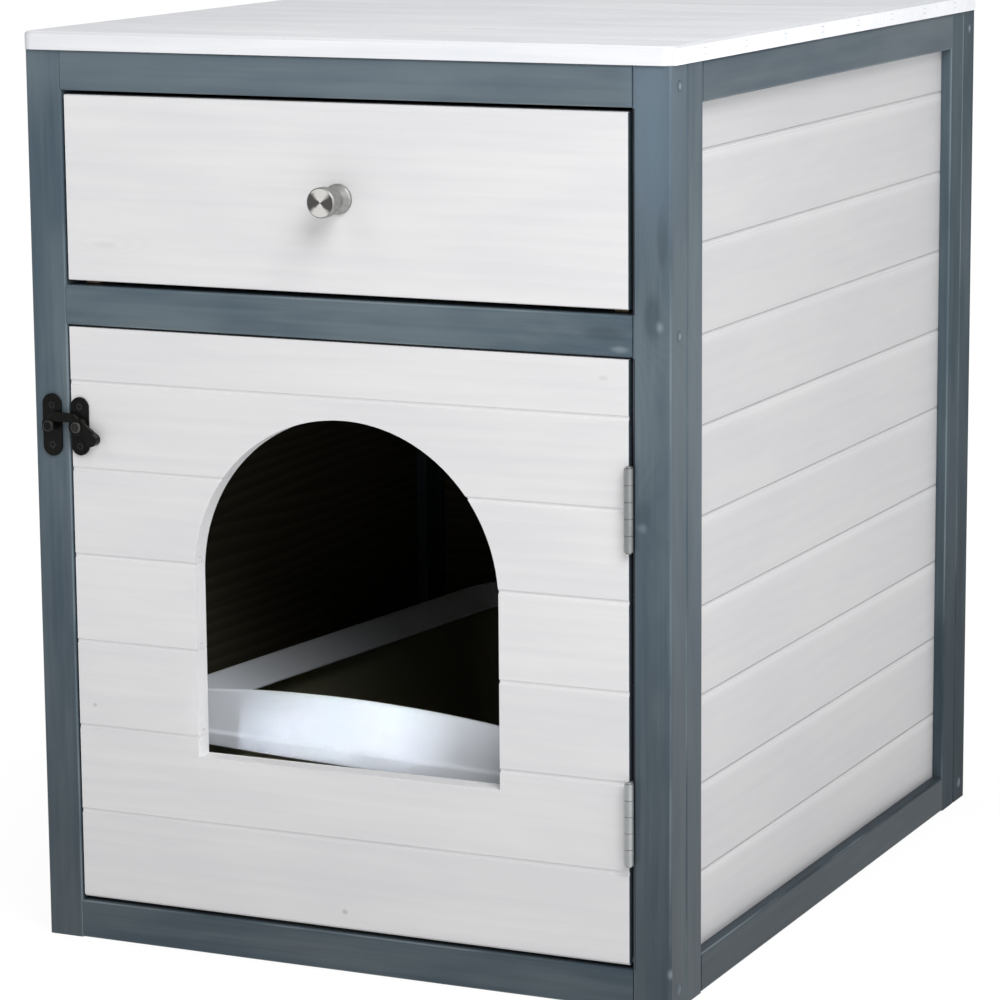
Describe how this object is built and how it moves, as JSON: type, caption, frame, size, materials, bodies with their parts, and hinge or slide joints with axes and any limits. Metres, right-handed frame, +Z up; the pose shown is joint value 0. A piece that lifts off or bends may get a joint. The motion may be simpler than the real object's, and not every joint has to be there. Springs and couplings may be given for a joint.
{
  "type": "litter box enclosure",
  "caption": "Wooden cat litter box cabinet with boarded sides, a hinged door with an arched cat entrance, a turning latch, a top drawer and a removable litter tray.",
  "frame": {"origin": "centre of the bounding box on the floor plane: midway across the width, and midway between the knob's tip and the top's rear edge", "axes": "+Z up; -Y out of the front with the door and the drawer; +X to the right seen from the front"},
  "size_m": [0.484, 0.65, 0.643],
  "materials": {
    "blue_paint": "slate-blue paint over sanded softwood, satin",
    "white_paint": "off-white paint over tongue-and-groove boards, satin",
    "door_paint": "off-white paint over tongue-and-groove boards, satin",
    "drawer_paint": "off-white paint, satin",
    "inner_wood": "bare softwood, oiled dark",
    "inner_panel": "bare plywood",
    "drawer_wood": "bare softwood, sanded",
    "zinc_steel": "zinc-plated steel",
    "hinge_steel": "pale zinc-plated steel",
    "black_metal": "black painted steel, satin",
    "knob_steel": "turned and brushed",
    "pan_plastic": "taupe moulded plastic",
    "rim_plastic": "white moulded plastic"
  },
  "bodies": {
    "cabinet": {"front_left_post": "blue_paint", "front_right_post": "blue_paint", "front_top_rail": "blue_paint", "front_middle_rail": "blue_paint", "front_bottom_rail": "blue_paint", "left_side_front_post": "blue_paint", "left_side_rear_post": "blue_paint", "left_side_top_rail": "blue_paint", "left_side_bottom_rail": "blue_paint", "left_side_boards": "white_paint", "right_side_front_post": "blue_paint", "right_side_rear_post": "blue_paint", "right_side_top_rail": "blue_paint", "right_side_bottom_rail": "blue_paint", "right_side_boards": "white_paint", "back_left_post": "blue_paint", "back_right_post": "blue_paint", "back_top_rail": "blue_paint", "back_bottom_rail": "blue_paint", "back_boards": "white_paint", "top_boards": "white_paint", "top_battens": "inner_wood", "floor_panel": "inner_panel", "floor_cleats": "inner_wood", "drawer_shelf": "inner_panel", "shelf_cleats": "inner_wood", "drawer_guides": "inner_wood", "door_stop": "inner_wood", "frame_screws": "zinc_steel", "upper_hinge_post_leaf": "hinge_steel", "lower_hinge_post_leaf": "hinge_steel", "hinge_pins": "hinge_steel", "hinge_post_screws": "hinge_steel", "latch_keeper": "black_metal", "latch_keeper_screws": "black_metal"},
    "door": {"door_board_1": "door_paint", "door_board_2": "door_paint", "door_board_3": "door_paint", "door_board_4": "door_paint", "door_board_5": "door_paint", "door_board_6": "door_paint", "door_board_7": "door_paint", "door_battens": "door_paint", "upper_hinge_door_leaf": "hinge_steel", "lower_hinge_door_leaf": "hinge_steel", "hinge_door_screws": "hinge_steel", "latch_plate": "black_metal", "latch_plate_screws": "black_metal", "latch_rivet": "black_metal"},
    "lever": {"latch_lever": "black_metal"},
    "drawer": {"drawer_front": "drawer_paint", "drawer_left_side": "drawer_wood", "drawer_right_side": "drawer_wood", "drawer_back": "drawer_wood", "drawer_bottom": "drawer_wood", "drawer_knob": "knob_steel", "knob_screw": "zinc_steel"},
    "tray": {"litter_tray_pan": "pan_plastic", "litter_tray_rim": "rim_plastic"}
  },
  "joints": [
    {"name": "door_hinge", "type": "hinge", "parent": "cabinet", "child": "door", "pos_m": [0.2113, -0.3023, 0.235], "axis": [0, 0, 1], "range_deg": [0, 180]},
    {"name": "latch_turn", "type": "hinge", "parent": "door", "child": "lever", "pos_m": [-0.2036, -0.3022, 0.37], "axis": [0, 1, 0], "range_deg": [0, 80]},
    {"name": "drawer_slide", "type": "slide", "parent": "cabinet", "child": "drawer", "axis": [0, -1, 0], "range_m": [0, 0.3]},
    {"name": "tray_slide", "type": "slide", "parent": "cabinet", "child": "tray", "axis": [0, -1, 0], "range_m": [0, 0.026]}
  ]
}
